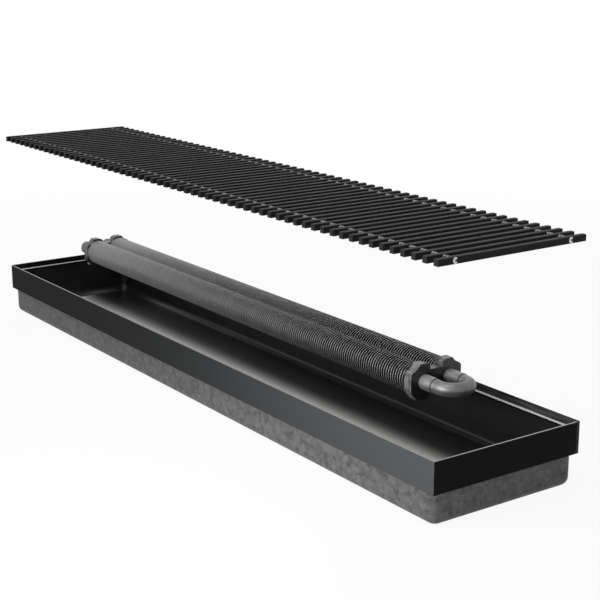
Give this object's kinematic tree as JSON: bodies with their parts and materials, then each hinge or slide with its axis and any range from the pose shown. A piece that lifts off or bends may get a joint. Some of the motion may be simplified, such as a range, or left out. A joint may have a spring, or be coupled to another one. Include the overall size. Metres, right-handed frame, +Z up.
{
  "type": "trench convector heater",
  "caption": "Floor trench heater: pressed tray and trough in a mitred frame, finned two-tube coil with return bend, and a bar grille that rolls up.",
  "frame": {"origin": "middle of the tray's underside", "axes": "+X along the length towards the coil's return bend, +Y towards the side that the coil stands on, +Z up"},
  "size_m": [1.005, 0.2, 0.2725],
  "materials": {
    "galvanised_sheet": "mottled matt zinc",
    "black_enamel": "gloss",
    "anthracite_aluminium": "satin anthracite anodised",
    "mill_aluminium": "mill",
    "zinc_screw": "bright zinc",
    "black_rubber": "matt",
    "sound_mat": "matt",
    "pale_strip": "matt",
    "fin_grey": "satin",
    "tube_grey": "satin grey coat on copper",
    "bracket_plastic": "satin black moulding",
    "tail_brass": "satin grey coat",
    "nut_grey": "satin nickel grey",
    "bleed_brass": "satin",
    "bar_black": "satin black anodised",
    "spring_steel": "satin"
  },
  "bodies": {
    "trench": {"outer_tray": "galvanised_sheet", "base_mat": "sound_mat", "inner_trough": "black_enamel", "front_rail": "anthracite_aluminium", "rear_rail": "anthracite_aluminium", "left_rail": "anthracite_aluminium", "right_rail": "anthracite_aluminium", "corner_keys": "mill_aluminium", "frame_screws": "zinc_screw", "entry_plugs": "black_rubber", "rest_strips": "pale_strip"},
    "coil": {"fin_pack": "fin_grey", "front_tube": "tube_grey", "rear_tube": "tube_grey", "return_bend": "tube_grey", "near_bracket": "bracket_plastic", "far_bracket": "bracket_plastic", "supply_tail": "tail_brass", "return_tail": "tail_brass", "union_gaskets": "black_rubber"},
    "supply_nut": {"supply_nut": "nut_grey"},
    "return_nut": {"return_nut": "nut_grey"},
    "bleed_screw": {"bleed_screw": "bleed_brass"},
    "grille": {"grille_bars": "bar_black", "front_spring": "spring_steel", "rear_spring": "spring_steel", "far_washers": "zinc_screw", "far_pins": "spring_steel"},
    "link_01": {"roll_bar_01": "bar_black"},
    "link_02": {"roll_bar_02": "bar_black"},
    "link_03": {"roll_bar_03": "bar_black"},
    "link_04": {"roll_bar_04": "bar_black"},
    "link_05": {"roll_bar_05": "bar_black"},
    "link_06": {"roll_bar_06": "bar_black"},
    "link_07": {"roll_bar_07": "bar_black"},
    "link_08": {"roll_bar_08": "bar_black"},
    "link_09": {"roll_bar_09": "bar_black"},
    "link_10": {"roll_bar_10": "bar_black"},
    "link_11": {"roll_bar_11": "bar_black"},
    "link_12": {"roll_bar_12": "bar_black", "near_washers": "zinc_screw", "near_pins": "spring_steel"}
  },
  "joints": [
    {"name": "coil_lift", "type": "slide", "parent": "trench", "child": "coil", "axis": [0, 0, 1], "range_m": [-0.0657, 0.06]},
    {"name": "grille_lift", "type": "slide", "parent": "trench", "child": "grille", "axis": [0, 0, 1], "range_m": [-0.2005, 0.185]},
    {"name": "supply_nut_spin", "type": "hinge", "parent": "coil", "child": "supply_nut", "pos_m": [-0.463, 0.0135, 0.0917], "axis": [-1, 0, 0], "continuous": true},
    {"name": "return_nut_spin", "type": "hinge", "parent": "coil", "child": "return_nut", "pos_m": [-0.463, 0.0495, 0.0917], "axis": [-1, 0, 0], "continuous": true},
    {"name": "bleed_turn", "type": "hinge", "parent": "coil", "child": "bleed_screw", "pos_m": [-0.4508, 0.0495, 0.1027], "axis": [0, 0, 1], "range_deg": [0, 360]},
    {"name": "roll_01", "type": "hinge", "parent": "grille", "child": "link_01", "pos_m": [0.30571, 0, 0.269], "axis": [0, -1, 0], "range_deg": [0, 24]},
    {"name": "roll_02", "type": "hinge", "parent": "link_01", "child": "link_02", "pos_m": [0.32224, 0, 0.269], "axis": [0, -1, 0], "range_deg": [0, 24]},
    {"name": "roll_03", "type": "hinge", "parent": "link_02", "child": "link_03", "pos_m": [0.33876, 0, 0.269], "axis": [0, -1, 0], "range_deg": [0, 24]},
    {"name": "roll_04", "type": "hinge", "parent": "link_03", "child": "link_04", "pos_m": [0.35529, 0, 0.269], "axis": [0, -1, 0], "range_deg": [0, 24]},
    {"name": "roll_05", "type": "hinge", "parent": "link_04", "child": "link_05", "pos_m": [0.37181, 0, 0.269], "axis": [0, -1, 0], "range_deg": [0, 24]},
    {"name": "roll_06", "type": "hinge", "parent": "link_05", "child": "link_06", "pos_m": [0.38834, 0, 0.269], "axis": [0, -1, 0], "range_deg": [0, 24]},
    {"name": "roll_07", "type": "hinge", "parent": "link_06", "child": "link_07", "pos_m": [0.40486, 0, 0.269], "axis": [0, -1, 0], "range_deg": [0, 24]},
    {"name": "roll_08", "type": "hinge", "parent": "link_07", "child": "link_08", "pos_m": [0.42139, 0, 0.269], "axis": [0, -1, 0], "range_deg": [0, 24]},
    {"name": "roll_09", "type": "hinge", "parent": "link_08", "child": "link_09", "pos_m": [0.43791, 0, 0.269], "axis": [0, -1, 0], "range_deg": [0, 24]},
    {"name": "roll_10", "type": "hinge", "parent": "link_09", "child": "link_10", "pos_m": [0.45444, 0, 0.269], "axis": [0, -1, 0], "range_deg": [0, 24]},
    {"name": "roll_11", "type": "hinge", "parent": "link_10", "child": "link_11", "pos_m": [0.47096, 0, 0.269], "axis": [0, -1, 0], "range_deg": [0, 24]},
    {"name": "roll_12", "type": "hinge", "parent": "link_11", "child": "link_12", "pos_m": [0.48749, 0, 0.269], "axis": [0, -1, 0], "range_deg": [0, 24]}
  ],
  "couplings": [
    {"joint": "grille_lift", "follows": "coil_lift", "ratio": 3.0517},
    {"joint": "roll_02", "follows": "roll_01", "ratio": 1},
    {"joint": "roll_03", "follows": "roll_01", "ratio": 1},
    {"joint": "roll_04", "follows": "roll_01", "ratio": 1},
    {"joint": "roll_05", "follows": "roll_01", "ratio": 1},
    {"joint": "roll_06", "follows": "roll_01", "ratio": 1},
    {"joint": "roll_07", "follows": "roll_01", "ratio": 1},
    {"joint": "roll_08", "follows": "roll_01", "ratio": 1},
    {"joint": "roll_09", "follows": "roll_01", "ratio": 1},
    {"joint": "roll_10", "follows": "roll_01", "ratio": 1},
    {"joint": "roll_11", "follows": "roll_01", "ratio": 1},
    {"joint": "roll_12", "follows": "roll_01", "ratio": 1}
  ]
}
